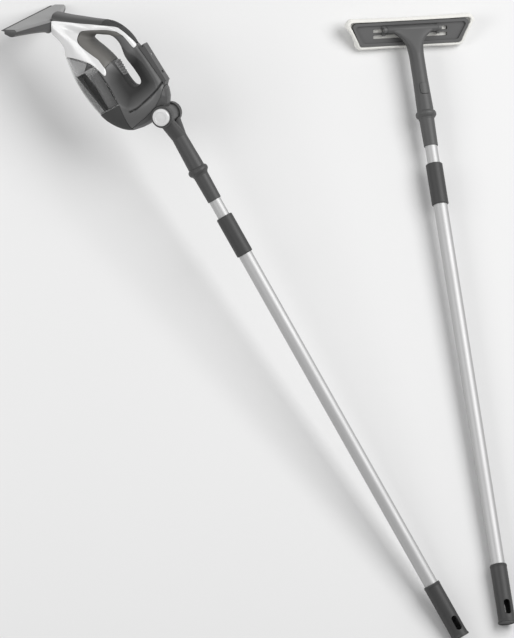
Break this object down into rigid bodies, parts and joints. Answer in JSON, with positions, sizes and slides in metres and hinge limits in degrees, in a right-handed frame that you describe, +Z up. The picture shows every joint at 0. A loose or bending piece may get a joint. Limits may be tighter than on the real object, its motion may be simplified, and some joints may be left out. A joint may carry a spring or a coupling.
{
  "type": "window cleaning pole system",
  "caption": "Cordless window vacuum on a tilting pole adapter, and a swivelling microfibre wash pad, each on a telescopic aluminium pole with twist lock and hand grip.",
  "frame": {"origin": "centre of the bounding box's footprint, on the floor that both tools lie on", "axes": "+Y along the wash tool's pole towards its pad, +X to the right, +Z up"},
  "size_m": [0.9397, 1.2246, 0.2034],
  "materials": {
    "aluminium": "fine brushed, anodised",
    "dark_plastic": "moulded, satin",
    "grey_plastic": "moulded, satin",
    "black_plastic": "moulded",
    "light_grey_plastic": "moulded, satin",
    "plate_plastic": "moulded, fine grain",
    "nylon": "moulded",
    "white_plastic": "glossy",
    "taupe_plastic": "moulded, satin",
    "pale_plastic": "moulded",
    "smoke_plastic": "clear, smoke tint",
    "soft_rubber": "matt",
    "steel": "plain",
    "cell_wrap": "shrink wrap",
    "board": "solder mask",
    "hook_tape": "woven hook tape",
    "microfibre": "fuzzy loop pile"
  },
  "bodies": {
    "poles": {"outer_tube_suction": "aluminium", "collet_suction": "nylon", "hand_grip_suction": "dark_plastic", "end_cap_suction": "grey_plastic", "outer_tube_wash": "aluminium", "collet_wash": "nylon", "hand_grip_wash": "dark_plastic", "end_cap_wash": "grey_plastic"},
    "lock_sleeve_suction": {"lock_sleeve_suction": "dark_plastic"},
    "lock_sleeve_wash": {"lock_sleeve_wash": "dark_plastic"},
    "inner_pole_suction": {"inner_tube_suction": "aluminium", "guide_bush_suction": "nylon", "ferrule_suction": "grey_plastic", "button_spring_suction": "steel", "fork_neck": "grey_plastic", "pivot_pin": "steel", "knob_spring": "steel", "pin_cap": "dark_plastic"},
    "coupling_button_suction": {"coupling_button_suction": "dark_plastic"},
    "lock_knob": {"lock_knob": "white_plastic"},
    "suction_tool": {"cradle": "dark_plastic", "handle_clip": "dark_plastic", "clip_screws": "steel", "housing_near": "dark_plastic", "housing_far": "dark_plastic", "panel_near": "white_plastic", "panel_far": "white_plastic", "grip_insert": "taupe_plastic", "spine_cover": "grey_plastic", "grip_rubber": "soft_rubber", "tank": "smoke_plastic", "tank_foot": "black_plastic", "tank_baffle": "pale_plastic", "separator_tube": "black_plastic", "motor": "steel", "fan_housing": "black_plastic", "suction_duct": "black_plastic", "battery_pack": "cell_wrap", "circuit_board": "board", "nozzle_upper": "light_grey_plastic", "nozzle_lower": "dark_plastic", "wiper_blade": "soft_rubber", "nozzle_end_caps": "dark_plastic"},
    "power_button": {"power_button": "soft_rubber"},
    "trigger_switch": {"trigger_switch": "soft_rubber"},
    "fan": {"fan": "pale_plastic"},
    "inner_pole_wash": {"inner_tube_wash": "aluminium", "guide_bush_wash": "nylon", "ferrule_wash": "grey_plastic", "button_spring_wash": "steel", "neck_yoke": "grey_plastic"},
    "coupling_button_wash": {"coupling_button_wash": "dark_plastic"},
    "pad": {"hinge_pin": "steel", "base_plate": "plate_plastic", "hook_strips": "hook_tape", "cloth_pad": "microfibre"}
  },
  "joints": [
    {"name": "sleeve_twist_suction", "type": "hinge", "parent": "poles", "child": "lock_sleeve_suction", "pos_m": [-0.08564, 0.13826, 0.12654], "axis": [-0.4141, 0.9004, 0.1335], "range_deg": [0, 75]},
    {"name": "pole_slide_suction", "type": "slide", "parent": "poles", "child": "inner_pole_suction", "axis": [-0.4141, 0.9004, 0.1335], "range_m": [-0.03, 0.56]},
    {"name": "coupling_press_suction", "type": "slide", "parent": "inner_pole_suction", "child": "coupling_button_suction", "axis": [-0.6148, -0.3849, 0.6884], "range_m": [0, 0.0025], "stiffness_N_per_m": 800, "springref_m": -0.002, "deforming": ["button_spring_suction"]},
    {"name": "tool_tilt", "type": "hinge", "parent": "inner_pole_suction", "child": "suction_tool", "pos_m": [-0.1811, 0.3458, 0.15732], "axis": [0.6148, 0.3849, -0.6884], "range_deg": [-45, 90]},
    {"name": "knob_press", "type": "slide", "parent": "inner_pole_suction", "child": "lock_knob", "axis": [0.6148, 0.3849, -0.6884], "range_m": [0, 0.0025], "stiffness_N_per_m": 800, "springref_m": -0.002, "deforming": ["knob_spring"]},
    {"name": "power_press", "type": "slide", "parent": "suction_tool", "child": "power_button", "axis": [-0.2085, -0.7625, -0.6125], "range_m": [0, 0.0015], "stiffness_N_per_m": 600, "springref_m": -0.001},
    {"name": "trigger_press", "type": "slide", "parent": "suction_tool", "child": "trigger_switch", "axis": [-0.6712, -0.203, -0.7129], "range_m": [0, 0.003], "stiffness_N_per_m": 600, "springref_m": -0.001},
    {"name": "fan_spin", "type": "hinge", "parent": "suction_tool", "child": "fan", "pos_m": [-0.3152, 0.50934, 0.12901], "axis": [0.6148, 0.3849, -0.6884], "continuous": true},
    {"name": "sleeve_twist_wash", "type": "hinge", "parent": "poles", "child": "lock_sleeve_wash", "pos_m": [0.3469, 0.24085, 0.03239], "axis": [0, 0.9998, 0.0193], "range_deg": [0, 75]},
    {"name": "pole_slide_wash", "type": "slide", "parent": "poles", "child": "inner_pole_wash", "axis": [0, 0.9998, 0.0193], "range_m": [-0.03, 0.56]},
    {"name": "coupling_press_wash", "type": "slide", "parent": "inner_pole_wash", "child": "coupling_button_wash", "axis": [0, 0.0193, -0.9998], "range_m": [0, 0.0025], "stiffness_N_per_m": 800, "springref_m": -0.002, "deforming": ["button_spring_wash"]},
    {"name": "pad_tilt", "type": "hinge", "parent": "inner_pole_wash", "child": "pad", "pos_m": [0.3469, 0.5188, 0.03774], "axis": [1, 0, 0], "range_deg": [-10, 110]}
  ]
}
